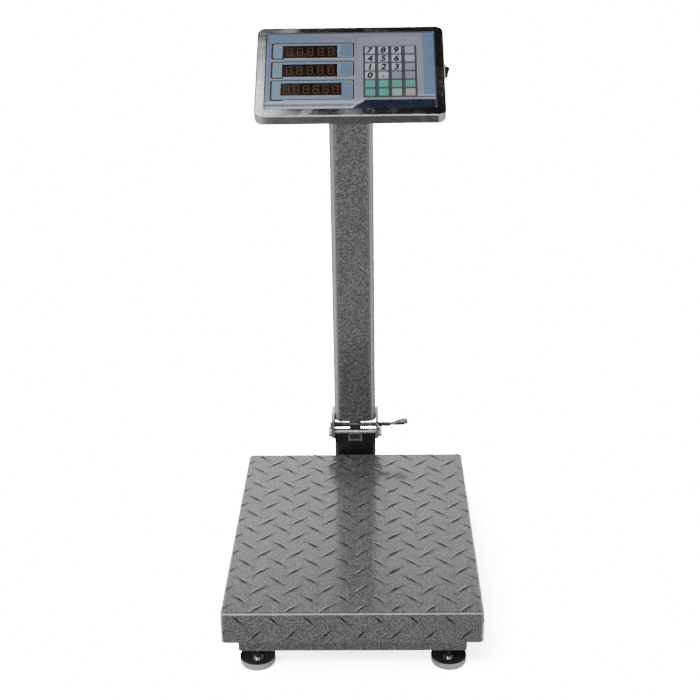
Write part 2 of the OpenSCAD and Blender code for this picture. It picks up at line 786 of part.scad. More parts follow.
module key_cap(row, col) color(KEY_COLOURS[row][col]) in_head() at_key(row, col) {
    flange_z = overlay_low - 0.8 - 1;
    translate([0, 0, flange_z]) linear_extrude(overlay_top + key_rise - flange_z) rounded(key_w, key_h, 1.2);
    translate([0, 0, flange_z]) linear_extrude(0.9) square([key_w + 1.4, key_h + 1.4], center = true);
    stem_z = board_z + board_t + key_travel + gap;
    translate([0, 0, stem_z]) cylinder(h = flange_z - stem_z + 0.5, r = 1.8);
}

// ---- Power switch and socket ----

module switch_body() color("black") in_head() translate([head_w / 2, switch_y, switch_z]) difference() {
    union() {
        translate([0, -bezel_l / 2, -bezel_w / 2]) cube([bezel_t, bezel_l, bezel_w]);
        translate([-switch_in, -body_l / 2, -body_w / 2]) cube([switch_in, body_l, body_w]);
    }
    translate([rocker_x - head_w / 2, 0, -rocker_w / 2 - slack])
        cylinder(h = rocker_w + 2 * slack, r = well_r);
}

module switch_rocker() color("black") in_head()
    translate([rocker_x, switch_y, switch_z - rocker_w / 2]) rotate(-rocker_tilt)
        linear_extrude(rocker_w) intersection() {
            circle(rocker_r);
            polygon([[-rocker_r, -rocker_r], [4.2, -rocker_r], [2.4, 0], [4.2, rocker_r],
                [-rocker_r, rocker_r]]);
        }

module power_socket() color("black") in_head() translate([socket_x, socket_y, -head_t]) {
    difference() {
        union() {
            translate([0, 0, -socket_flange]) cylinder(h = socket_flange, r = socket_r + 1.8);
            cylinder(h = socket_in, r = socket_r);
        }
        translate([0, 0, -socket_flange - over]) cylinder(h = socket_depth + over, r = socket_bore);
    }
    translate([0, 0, -socket_flange + 1]) cylinder(h = socket_depth - 1 + over / 2, r = socket_pin);
}

// ---- Output ----

front_rail();
rear_rail();
frame_spine();
foot_locknuts();
column_arm();
stub();
hinge_barrel();
load_plate();
load_cell();
load_cell_bolts();
pan_pads();
pan();
column_tube();
hinge_cheeks();
hinge_bolt();
head_plate();
front_housing();
rear_cover();
battery_cover();
battery();
face_overlay();
keypad_plate();
display_windows();
display_modules();
main_board();
switch_body();
switch_rocker();
power_socket();
head_screws();
lock_lever();
lock_pawl();
lock_spring();
for (i = [0:3]) foot(i);
for (row = [0:5], col = [0:3]) key_cap(row, col);
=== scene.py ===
import json
import math

import bmesh
import bpy
from bpy.props import FloatProperty, FloatVectorProperty, PointerProperty
from mathutils import Matrix, Vector


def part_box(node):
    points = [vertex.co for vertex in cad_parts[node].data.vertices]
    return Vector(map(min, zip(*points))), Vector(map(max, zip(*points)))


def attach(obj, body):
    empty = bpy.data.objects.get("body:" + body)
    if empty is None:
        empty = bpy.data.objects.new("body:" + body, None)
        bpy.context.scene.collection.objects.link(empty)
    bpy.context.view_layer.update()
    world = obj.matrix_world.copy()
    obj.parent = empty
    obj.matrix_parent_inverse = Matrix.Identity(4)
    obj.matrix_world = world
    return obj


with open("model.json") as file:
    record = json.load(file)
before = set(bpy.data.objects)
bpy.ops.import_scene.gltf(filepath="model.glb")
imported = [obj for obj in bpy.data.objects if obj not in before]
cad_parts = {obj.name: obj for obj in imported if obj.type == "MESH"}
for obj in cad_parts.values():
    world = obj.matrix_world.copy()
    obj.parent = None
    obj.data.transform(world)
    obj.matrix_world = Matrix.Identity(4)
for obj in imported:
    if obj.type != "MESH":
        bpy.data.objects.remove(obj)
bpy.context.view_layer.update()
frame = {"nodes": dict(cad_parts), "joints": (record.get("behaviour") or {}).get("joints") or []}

bl_info = {
    "name": "Platform scale finish",
    "version": (1, 0, 0),
    "blender": (4, 5, 0),
    "location": "View3D > Sidebar > Scale",
    "description": "Finishes a platform scale with a folding column: paint, raised pattern, print and stage",
    "category": "Object",
}

MM = 0.001


# ---- Places read from the frame ----


def joint(name):
    """The joint of that name, as the record describes it."""
    return next(j for j in frame["joints"] if j["name"] == name)


def middle(node):
    """The middle of a node's box."""
    low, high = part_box(node)
    return (low + high) / 2


def reach(node, direction):
    """How far a node reaches along a direction, from the origin."""
    return max(v.co.dot(direction) for v in frame["nodes"][node].data.vertices)


PRESS = joint("press_7")["axis"]
TILT = math.atan2(PRESS[1], -PRESS[2])
ACROSS = Vector((1, 0, 0))
UP_FACE = Vector((0, math.cos(TILT), math.sin(TILT)))
OUT = Vector((0, -math.sin(TILT), math.cos(TILT)))
# The face's own origin: the middle of the label film, on its surface.
LABEL_LIFT = reach("face_overlay", OUT)
LABEL_LOW = -reach("face_overlay", -UP_FACE)
LABEL_HIGH = reach("face_overlay", UP_FACE)
FACE_ORIGIN = UP_FACE * (LABEL_LOW + LABEL_HIGH) / 2 + OUT * LABEL_LIFT


def on_face(place):
    """A place in the face's own axes: across, up the slope and out of it."""
    place = place - FACE_ORIGIN
    return Vector((place.dot(ACROSS), place.dot(UP_FACE), place.dot(OUT)))


# ---- Sizes and colours that a user would change ----


def colour(name, description, value):
    """A colour that a user can set."""
    return FloatVectorProperty(name=name, description=description, subtype="COLOR", size=3,
                               min=0, max=1, default=value)


def length(name, description, millimetres):
    """A length that a user can set."""
    return FloatProperty(name=name, description=description, unit="LENGTH", subtype="DISTANCE",
                         min=0, precision=4, default=millimetres * MM)


def number(name, description, value, low=0.0, high=10.0):
    """A brightness or power that a user can set."""
    return FloatProperty(name=name, description=description, default=value, min=low, max=high)


class PaintSettings(bpy.types.PropertyGroup):
    """Colours of the paints and metals"""
    hammer_dark: colour("Hammertone, dark", "Colour in the hollows of the hammertone paint",
                        (0.058, 0.058, 0.056))
    hammer_light: colour("Hammertone, light", "Colour of the raised flakes of the hammertone paint",
                         (0.25, 0.25, 0.243))
    # Painted highlight: the colour painted over the folds and corner radii, where they would catch the light.
    hammer_edge: colour("Hammertone, edges", "Colour where the hammertone paint is thin, over the folds",
                        (0.75, 0.75, 0.73))
    hammer_grain: length("Hammertone grain", "Size of one dimple of the hammertone paint", 1.4)
    enamel: colour("Enamel", "Colour of the dark enamel on the column's foot", (0.012, 0.012, 0.013))
    zinc: colour("Zinc", "Colour of the zinc-plated hinge parts", (0.60, 0.61, 0.62))
    steel: colour("Stainless steel", "Colour of the head's polished steel", (0.66, 0.67, 0.67))
    chrome: colour("Chrome", "Colour of the chromed feet", (0.82, 0.83, 0.84))


class PatternSettings(bpy.types.PropertyGroup):
    """Sizes of the raised pattern in the pan"""
    pitch: length("Pitch", "Distance between two lenses that lean the same way", 40)
    lens_length: length("Lens length", "Length of one raised lens", 27)
    lens_width: length("Lens width", "Width of one raised lens", 6.4)
    lens_height: length("Lens height", "How far a lens stands out of the sheet", 0.5)
    edge: length("Edge", "Bare margin along the pan's folds", 2.5)


class FaceSettings(bpy.types.PropertyGroup):
    """Colours of the label and windows, and the size of the numerals"""
    label_side: colour("Label, side", "Colour of the label film at its left side", (0.19, 0.265, 0.40))
    label_middle: colour("Label, middle", "Colour of the label film round the keys", (0.31, 0.315, 0.38))
    label_band: colour("Label, band", "Colour of the upright band at the label's right", (0.19, 0.28, 0.46))
    label_field: colour("Label, fields", "Colour of the fields round the windows", (0.28, 0.37, 0.52))
    label_line: colour("Label, lines", "Colour of the lines and the lower band", (0.009, 0.016, 0.042))
    label_strip: colour("Label, strip", "Colour of the pale strip along the label's foot", (0.62, 0.64, 0.72))
    window: colour("Window", "Colour of the red filter over the digits", (0.018, 0.007, 0.004))
    segment: colour("Segment", "Colour of an unlit segment of a digit", (0.085, 0.034, 0.014))
    numeral: length("Numeral height", "Letter size of the numerals on the keys", 13.0)


class StageSettings(bpy.types.PropertyGroup):
    """The floor, the lights and the camera's lens"""
    floor: colour("Floor", "Colour of the floor", (0.80, 0.80, 0.80))
    glare: number("Glare", "How bright the floor and backdrop look to the camera", 30.0, 0, 100)
    backdrop: number("Surroundings", "Brightness of the studio round the scale", 0.5)
    panel: number("Overhead panel", "Brightness of the large panel overhead at the left", 6.0, 0, 50)
    lamp: number("Front lamp", "Power of the low lamp across the front, in watts", 1.2, 0, 1000)
    key: number("Left strip", "Power of the upright light at the left, in watts", 3.0, 0, 1000)
    fill: number("Right strip", "Power of the upright light at the right, in watts", 2.4, 0, 1000)
    lens: FloatProperty(name="Lens", description="Focal length of the camera, in millimetres",
                        default=66, min=20, max=200)


SETTINGS = {
    "scale_paint": PaintSettings,
    "scale_pattern": PatternSettings,
    "scale_face": FaceSettings,
    "scale_stage": StageSettings,
}


# ---- Modelling helpers ----


def deselect():
    """Leaves edit mode and clears the selection, so that an operator acts on new work only."""
    if bpy.context.object and bpy.context.object.mode != "OBJECT":
        bpy.ops.object.mode_set(mode="OBJECT")
    bpy.ops.object.select_all(action="DESELECT")


def only(piece):
    """Selects one piece and makes it active."""
    deselect()
    piece.select_set(True)
    bpy.context.view_layer.objects.active = piece


def named(name):
    """Names the active object and its mesh."""
    piece = bpy.context.object
    piece.name = name
    piece.data.name = name
    return piece


def edit(piece):
    """Selects one piece and goes into edit mode."""
    only(piece)
    bpy.ops.object.mode_set(mode="EDIT")


def pick(piece, kind, test):
    """In edit mode, selects the vertices, edges or faces that pass the test."""
    mesh = bmesh.from_edit_mesh(piece.data)
    bpy.ops.mesh.select_all(action="DESELECT")
    bpy.ops.mesh.select_mode(type={"verts": "VERT", "edges": "EDGE", "faces": "FACE"}[kind])
    for element in getattr(mesh, kind):
        if test(element):
            element.select_set(True)
    mesh.select_flush_mode()
    bmesh.update_edit_mesh(piece.data)


def apply_place(piece):
    """Moves the piece's place into its mesh, so that its object sits at the origin."""
    only(piece)
    bpy.ops.object.transform_apply(location=True, rotation=True, scale=True)


def modify(piece, kind, **values):
    """Adds a modifier, sets it and applies it."""
    only(piece)
    modifier = piece.modifiers.new(kind.title(), kind)
    for name, value in values.items():
        setattr(modifier, name, value)
    bpy.ops.object.modifier_apply(modifier=modifier.name)


def copy_of(piece, name):
    """A copy of the piece with a mesh of its own."""
    only(piece)
    bpy.ops.object.duplicate(linked=False)
    return named(name)


def joined(pieces, name):
    """Joins pieces into one, under a new name."""
    deselect()
    for piece in pieces:
        piece.select_set(True)
    bpy.context.view_layer.objects.active = pieces[0]
    bpy.ops.object.join()
    return named(name)


def smooth(piece, degrees):
    """Shades a piece smooth, apart from edges sharper than the angle."""
    only(piece)
    bpy.ops.object.shade_smooth_by_angle(angle=math.radians(degrees))


def dress(piece, material):
    """Gives the whole piece one material."""
    piece.data.materials.clear()
    piece.data.materials.append(material)


def finish_piece(piece, body, material):
    """Settles a piece where it stands, gives it its material and lets it ride on its body."""
    apply_place(piece)
    dress(piece, material)
    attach(piece, body)


def paint(material, *nodes):
    """Puts a material on CAD nodes."""
    for node in nodes:
        slots = frame["nodes"][node].data.materials
        for index in range(len(slots)):
            slots[index] = material
        if not slots:
            slots.append(material)


# ---- Node helpers ----


class Tree:
    """A short way to place and link the nodes of one material or group."""

    def __init__(self, tree):
        self.tree = tree

    def node(self, kind, inputs=None, **settings):
        """A new node with its settings made and its inputs fed."""
        made = self.tree.nodes.new("ShaderNode" + kind)
        for name, value in settings.items():
            setattr(made, name, value)
        for name, value in (inputs or {}).items():
            self.feed(made.inputs[name], value)
        return made

    def feed(self, socket, value):
        """Links another node's output to a socket, or sets the socket's own value."""
        if isinstance(value, bpy.types.NodeSocket):
            self.tree.links.new(value, socket)
        else:
            socket.default_value = value

    def math(self, operation, *values):
        made = self.node("Math", operation=operation)
        for socket, value in zip(made.inputs, values):
            self.feed(socket, value)
        return made.outputs[0]

    def mix(self, factor, first, second):
        """The first colour where the factor is 0 and the second where it is 1."""
        made = self.node("Mix", data_type="RGBA")
        self.feed(made.inputs["Factor"], factor)
        self.feed(made.inputs[6], first)
        self.feed(made.inputs[7], second)
        return made.outputs[2]

    def spread(self, value, low, high, to_low=0.0, to_high=1.0):
        """Maps a value from one range to another along a soft curve, held at its ends."""
        made = self.node("MapRange", interpolation_type="SMOOTHSTEP")
        for name, item in zip(("Value", "From Min", "From Max", "To Min", "To Max"),
                              (value, low, high, to_low, to_high)):
            self.feed(made.inputs[name], item)
        return made.outputs[0]

    def noise(self, vector, scale, detail=3.0, roughness=0.5, distortion=0.0):
        made = self.node("TexNoise", {"Vector": vector, "Scale": scale, "Detail": detail,
                                      "Roughness": roughness, "Distortion": distortion})
        return made.outputs["Fac"]

    def cells(self, vector, scale, feature="F1", **inputs):
        return self.node("TexVoronoi", {"Vector": vector, "Scale": scale, **inputs}, feature=feature)

    def stretched(self, vector, scale=(1, 1, 1), rotation=(0, 0, 0), location=(0, 0, 0)):
        return self.node("Mapping", {"Vector": vector, "Scale": scale, "Rotation": rotation,
                                     "Location": location}).outputs[0]

    def use(self, group, **inputs):
        """The outputs of a node group; an underscore in an input's name stands for a space."""
        made = self.node("Group", node_tree=group)
        for name, value in inputs.items():
            self.feed(made.inputs[name.replace("_", " ")], value)
        return made.outputs


def group(name, inputs, outputs):
    """An empty node group with named sockets, and its two end nodes."""
    made = bpy.data.node_groups.new(name, "ShaderNodeTree")
    for label, kind, value in inputs:
        socket = made.interface.new_socket(label, in_out="INPUT", socket_type="NodeSocket" + kind)
        if value is not None:
            socket.default_value = value
    for label, kind in outputs:
        made.interface.new_socket(label, in_out="OUTPUT", socket_type="NodeSocket" + kind)
    tree = Tree(made)
    return made, tree, tree.tree.nodes.new("NodeGroupInput").outputs, tree.tree.nodes.new("NodeGroupOutput")


def shared(build):
    """Builds a node group once and hands the same one out afterwards."""
    def fetch():
        return bpy.data.node_groups.get(build.__name__) or build(build.__name__)
    return fetch


@shared
def hammer_dimples(name):
    """Round dimples between raised flakes, as hammertone paint dries."""
    made, t, given, result = group(
        name, [("Vector", "Vector", None), ("Grain", "Float", 0.0015)],
        [("Height", "Float"), ("Fleck", "Float")])
    fine = t.math("DIVIDE", 1.0, given["Grain"])
    wander = t.node("TexNoise", {"Vector": given["Vector"], "Scale": t.math("MULTIPLY", fine, 0.55),
                                 "Detail": 2.0}).outputs["Color"]
    shift = t.node("VectorMath", operation="SCALE")
    t.feed(shift.inputs[0], wander)
    t.feed(shift.inputs["Scale"], t.math("MULTIPLY", given["Grain"], 1.6))
    moved = t.node("VectorMath", operation="ADD")
    t.feed(moved.inputs[0], given["Vector"])
    t.feed(moved.inputs[1], shift.outputs[0])
    dimple = t.cells(moved.outputs[0], fine, feature="SMOOTH_F1", Smoothness=0.6).outputs["Distance"]
    flake = t.noise(moved.outputs[0], t.math("MULTIPLY", fine, 0.8), 2.0, 0.62)
    height = t.math("ADD", t.spread(dimple, 0.05, 0.75), t.math("MULTIPLY", flake, 0.7))
    t.feed(result.inputs["Height"], height)
    t.feed(result.inputs["Fleck"], t.spread(flake, 0.44, 0.62))
    return made


# Masks the folds, for the painted highlight of the hammertone.
@shared
def thin_edges(name):
    """Where a sheet is folded: 1 where the surface leans half way between two of the object's axes."""
    made, t, given, result = group(name, [("Normal", "Vector", None)], [("Edge", "Float")])
    split = t.node("SeparateXYZ", {"Vector": given["Normal"]})
    x, y, z = (t.math("MULTIPLY", split.outputs[axis], split.outputs[axis]) for axis in "XYZ")
    pairs = t.math("ADD", t.math("MULTIPLY", x, y), t.math("MULTIPLY", z, t.math("ADD", x, y)))
    t.feed(result.inputs["Edge"], t.spread(t.math("MULTIPLY", pairs, 4.0), 0.45, 1.0))
    return made


@shared
def soft_cloud(name):
    """Slow variation over a surface: dirt, haze or an uneven coat."""
    made, t, given, result = group(
        name, [("Vector", "Vector", None), ("Size", "Float", 0.05), ("Low", "Float", 0.4),
               ("High", "Float", 0.6)], [("Value", "Float")])
    cloud = t.noise(given["Vector"], t.math("DIVIDE", 1.0, given["Size"]), 5.0, 0.6, 0.4)
    t.feed(result.inputs["Value"], t.spread(cloud, given["Low"], given["High"]))
    return made


@shared
def brush_lines(name):
    """Fine straight lines along one axis, as a polishing belt leaves them."""
    made, t, given, result = group(
        name, [("Vector", "Vector", None), ("Fineness", "Float", 2500.0)],
        [("Lines", "Float"), ("Height", "Float")])
    long_way = t.stretched(given["Vector"], scale=(0.012, 1, 1))
    lines = t.noise(long_way, given["Fineness"], 3.0, 0.7)
    broad = t.noise(long_way, t.math("MULTIPLY", given["Fineness"], 0.12), 2.0, 0.5)
    both = t.math("ADD", t.math("MULTIPLY", lines, 0.6), t.math("MULTIPLY", broad, 0.4))
    t.feed(result.inputs["Lines"], t.spread(both, 0.35, 0.65))
    t.feed(result.inputs["Height"], lines)
    return made


@shared
def moulded_grain(name):
    """The fine even texture of a moulded plastic part."""
    made, t, given, result = group(
        name, [("Vector", "Vector", None), ("Fineness", "Float", 2200.0)],
        [("Height", "Float"), ("Value", "Float")])
    pits = t.cells(given["Vector"], given["Fineness"]).outputs["Distance"]
    haze = t.noise(given["Vector"], t.math("MULTIPLY", given["Fineness"], 0.02), 4.0)
    t.feed(result.inputs["Height"], pits)
    t.feed(result.inputs["Value"], haze)
    return made


@shared
def face_axes(name):
    """Places on the sloping face: across, up the slope and out of it, from the label's middle."""
    made, t, given, result = group(
        name, [("Vector", "Vector", None)], [("Place", "Vector"), ("Across", "Float"), ("Up", "Float")])
    turn = Matrix.Rotation(-TILT, 3, "X")
    place = t.stretched(given["Vector"], rotation=(-TILT, 0, 0), location=-(turn @ FACE_ORIGIN))
    split = t.node("SeparateXYZ", {"Vector": place})
    t.feed(result.inputs["Place"], place)
    t.feed(result.inputs["Across"], split.outputs["X"])
    t.feed(result.inputs["Up"], split.outputs["Y"])
    return made


@shared
def printed_block(name):
    """A block with round corners, printed on the face: filled, and as an outline of half width Line."""
    made, t, given, result = group(
        name, [("Across", "Float", 0.0), ("Up", "Float", 0.0), ("Middle X", "Float", 0.0),
               ("Middle Y", "Float", 0.0), ("Half width", "Float", 0.01), ("Half height", "Float", 0.01),
               ("Corner", "Float", 0.001), ("Line", "Float", 0.0)],
        [("Block", "Float"), ("Outline", "Float")])
    beyond = []
    for place, centre, half in (("Across", "Middle X", "Half width"), ("Up", "Middle Y", "Half height")):
        off = t.math("ABSOLUTE", t.math("SUBTRACT", given[place], given[centre]))
        inner = t.math("SUBTRACT", given[half], given["Corner"])
        beyond.append(t.math("SUBTRACT", off, inner))
    outside = [t.math("MAXIMUM", value, 0.0) for value in beyond]
    squares = t.math("ADD", *[t.math("MULTIPLY", value, value) for value in outside])
    inside = t.math("MINIMUM", t.math("MAXIMUM", *beyond), 0.0)
    distance = t.math("SUBTRACT", t.math("ADD", t.math("SQRT", squares), inside), given["Corner"])
    soft = 0.1 * MM
    t.feed(result.inputs["Block"], t.spread(distance, -soft, soft, 1.0, 0.0))
    edge = t.math("SUBTRACT", t.math("ABSOLUTE", distance), given["Line"])
    t.feed(result.inputs["Outline"], t.spread(edge, -soft, soft, 1.0, 0.0))
    return made


# ---- Materials ----


def material(name):
    """A new material with its Principled shader, its tree and its Object coordinates."""
    made = bpy.data.materials.new(name)
    made.use_nodes = True
    t = Tree(made.node_tree)
    shader = made.node_tree.nodes["Principled BSDF"]
    place = t.node("TexCoord").outputs["Object"]
    return made, t, shader, place


def bump(t, shader, height, strength, depth):
    """Feeds a height in as a normal; depth is how high the real relief stands."""
    made = t.node("Bump", {"Height": height, "Strength": strength, "Distance": depth})
    t.feed(shader.inputs["Normal"], made.outputs["Normal"])


def once(build):
    """Builds a material once and hands the same one out afterwards."""
    def fetch():
        name = build.__name__ + "_finish"
        return bpy.data.materials.get(name) or build(name)
    return fetch


@once
def hammertone(name):
    """Silver-grey hammertone enamel: light flakes on a dark ground under a clear coat."""
    paints = bpy.context.scene.scale_paint
    made, t, shader, place = material(name)
    dimple = t.use(hammer_dimples(), Vector=place, Grain=paints.hammer_grain)
    worn = t.use(soft_cloud(), Vector=place, Size=0.09, Low=0.35, High=0.7)["Value"]
    fleck = t.math("MULTIPLY", dimple["Fleck"], t.spread(worn, 0, 1, 0.85, 1.0))
    dark = (*paints.hammer_dark, 1)
    light = (*paints.hammer_light, 1)
    # Painted highlight: the folds and corner radii are painted paler, standing in for the light that they
    # catch.
    edge = t.use(thin_edges(), Normal=t.node("TexCoord").outputs["Normal"])["Edge"]
    bright = (*paints.hammer_edge, 1)
    paint_colour = t.mix(t.math("MULTIPLY", edge, 0.65), t.mix(fleck, dark, light), bright)
    t.feed(shader.inputs["Base Color"], paint_colour)
    t.feed(shader.inputs["Metallic"], t.spread(dimple["Fleck"], 0, 1, 0.0, 0.35))
    shader.inputs["Roughness"].default_value = 0.45
    shader.inputs["Coat Weight"].default_value = 1.0
    shader.inputs["Coat Roughness"].default_value = 0.13
    bump(t, shader, dimple["Height"], 0.5, 0.00012)
    return made


@once
def dark_enamel(name):
    """Dark grey enamel with a slight orange peel and dusty hollows."""
    made, t, shader, place = material(name)
    dust = t.use(soft_cloud(), Vector=place, Size=0.03, Low=0.45, High=0.75)["Value"]
    base = (*bpy.context.scene.scale_paint.enamel, 1)
    dusty = (0.16, 0.16, 0.16, 1)
    t.feed(shader.inputs["Base Color"], t.mix(t.math("MULTIPLY", dust, 0.35), base, dusty))
    t.feed(shader.inputs["Roughness"], t.spread(dust, 0, 1, 0.28, 0.5))
    bump(t, shader, t.noise(place, 420, 2), 0.35, 0.0002)
    return made


def plated(name, base, rough_low, rough_high, tint):
    """Plated or bare metal: clouds of haze in another tint, and hair-fine scratches."""
    made, t, shader, place = material(name)
    haze = t.use(soft_cloud(), Vector=place, Size=0.012, Low=0.4, High=0.68)["Value"]
    scratch = t.use(brush_lines(), Vector=t.stretched(place, rotation=(0.3, 0.5, 0.7)), Fineness=900.0)
    t.feed(shader.inputs["Base Color"], t.mix(haze, (*base, 1), (*tint, 1)))
    rough = t.math("ADD", t.spread(haze, 0, 1, rough_low, rough_high),
                   t.math("MULTIPLY", scratch["Lines"], 0.08))
    t.feed(shader.inputs["Roughness"], rough)
    shader.inputs["Metallic"].default_value = 1.0
    bump(t, shader, scratch["Height"], 0.12, 0.00003)
    return made


@once
def zinc_plate(name):
    base = bpy.context.scene.scale_paint.zinc
    return plated(name, base, 0.2, 0.4, [value * 0.72 for value in base])


@once
def chrome_plate(name):
    base = bpy.context.scene.scale_paint.chrome
    return plated(name, base, 0.04, 0.12, [value * 0.9 for value in base])


@once
def black_steel(name):
    return plated(name, (0.15, 0.15, 0.15), 0.28, 0.5, (0.06, 0.06, 0.065))


@once
def spring_wire(name):
    return plated(name, (0.07, 0.07, 0.07), 0.3, 0.5, (0.04, 0.04, 0.04))


@once
def milled_aluminium(name):
    return plated(name, (0.62, 0.63, 0.64), 0.3, 0.45, (0.5, 0.5, 0.51))


@once
def polished_steel(name):
    """The head's polished stainless sheet, with faint belt lines along it."""
    base = bpy.context.scene.scale_paint.steel
    made, t, shader, place = material(name)
    lines = t.use(brush_lines(), Vector=place, Fineness=2200.0)
    smear = t.use(soft_cloud(), Vector=place, Size=0.04, Low=0.42, High=0.7)["Value"]
    shade = [value * 0.95 for value in base]
    t.feed(shader.inputs["Base Color"], t.mix(lines["Lines"], (*shade, 1), (*base, 1)))
    rough = t.math("ADD", t.spread(smear, 0, 1, 0.07, 0.17), t.math("MULTIPLY", lines["Lines"], 0.05))
    t.feed(shader.inputs["Roughness"], rough)
    shader.inputs["Metallic"].default_value = 1.0
    bump(t, shader, lines["Height"], 0.03, 0.00002)
    return made


def moulded(name, base, roughness, fineness=2200.0, strength=0.2, coat=0.0):
    """Moulded plastic: an even fine grain, a little haze and softly varied gloss."""
    made, t, shader, place = material(name)
    grain = t.use(moulded_grain(), Vector=place, Fineness=fineness)
    lighter = [min(1, value * 1.18 + 0.006) for value in base]
    t.feed(shader.inputs["Base Color"], t.mix(grain["Value"], (*base, 1), (*lighter, 1)))
    t.feed(shader.inputs["Roughness"], t.spread(grain["Value"], 0.3, 0.7, roughness - 0.06, roughness + 0.08))
    shader.inputs["Coat Weight"].default_value = coat
    bump(t, shader, grain["Height"], strength, 0.00004)
    return made


@once
def black_plastic(name):
    return moulded(name, (0.012, 0.012, 0.013), 0.42)


@once
def black_rubber(name):
    return moulded(name, (0.018, 0.018, 0.018), 0.75, fineness=900.0, strength=0.5)


@once
def keypad_grey(name):
    return moulded(name, (0.060, 0.070, 0.095), 0.45, fineness=3000.0)


@once
def circuit_board(name):
    """Green solder mask with a faint grid of tracks."""
    made, t, shader, place = material(name)
    grid = t.cells(t.stretched(place, scale=(1, 0.8, 0.8)), 160.0, feature="DISTANCE_TO_EDGE",
                   Randomness=0.35).outputs["Distance"]
    track = t.spread(grid, 0.04, 0.07)
    t.feed(shader.inputs["Base Color"], t.mix(track, (0.03, 0.16, 0.06, 1), (0.012, 0.07, 0.028, 1)))
    shader.inputs["Roughness"].default_value = 0.35
    bump(t, shader, track, 0.3, 0.00004)
    return made


KEY_SHADES = {
    "number_key": (0.50, 0.54, 0.60),
    "light_key": (0.40, 0.44, 0.52),
    "grey_key": (0.30, 0.33, 0.38),
    "teal_key": (0.15, 0.38, 0.34),
    "green_key": (0.12, 0.38, 0.31),
    "mint_key": (0.30, 0.46, 0.40),
    "pink_key": (0.52, 0.36, 0.41),
}


def key_material(shade):
    found = bpy.data.materials.get(shade)
    return found or moulded(shade, KEY_SHADES[shade], 0.36, fineness=3200.0, strength=0.15, coat=0.1)


@once
def ink(name):
    """Black printing ink."""
    return moulded(name, (0.01, 0.012, 0.02), 0.5, fineness=4000.0)


@once
def red_filter(name):
    """Dark red filter film over the digits."""
    made, t, shader, place = material(name)
    haze = t.use(soft_cloud(), Vector=place, Size=0.02, Low=0.4, High=0.7)["Value"]
    base = bpy.context.scene.scale_face.window
    hazy = [value * 1.35 for value in base]
    t.feed(shader.inputs["Base Color"], t.mix(haze, (*base, 1), (*hazy, 1)))
    t.feed(shader.inputs["Roughness"], t.spread(haze, 0, 1, 0.10, 0.2))
    shader.inputs["Coat Weight"].default_value = 0.1
    return made


@once
def segment_face(name):
    """An unlit segment of a digit, seen through the red filter."""
    return moulded(name, bpy.context.scene.scale_face.segment, 0.3, fineness=3000.0, strength=0.1)


# The print on the label film, in millimetres: across from the face's middle, up from its lower edge.
# The film's own middle is this far up.
FILM_RISE = 74.2
# The right end of the dark foot band and of the line over it.
BAND_RIGHT = 106.7
# The dark foot band starts at a slant, which leans across by SLANT for each step up and passes this place.
SLANT = 1.22
SLANT_FOOT = (5.1, 14.3)
# A white line runs beside the slant: how far to its left, and its half width from full to faded.
BESIDE_SLANT = 4.6
BESIDE_WIDTH = (0.6, 0.9)
# The frames round the displays: low and high edge of each one, then of the caption box at its left end.
FRAME_ROWS = ((95, 120.6, 92.7, 119.0), (63.6, 89.7, 60.9, 87.6), (26.4, 59.0, 25.0, 56.7))
FRAME_LEFT = -100.6
FRAME_RIGHT = 5.2
CAPTION_RIGHT = -84
# A white copy of each frame stands this much lower and shows as a thin line under it, a painted highlight.
FRAME_DROP = 1.0

# White for the print, and for the painted highlight lines under the frames.
PRINT_AND_HIGHLIGHT_WHITE = (0.72, 0.75, 0.80, 1)
PRINT_BLUE = (0.10, 0.16, 0.40, 1)
PRINT_GREY = (0.37, 0.37, 0.44, 1)


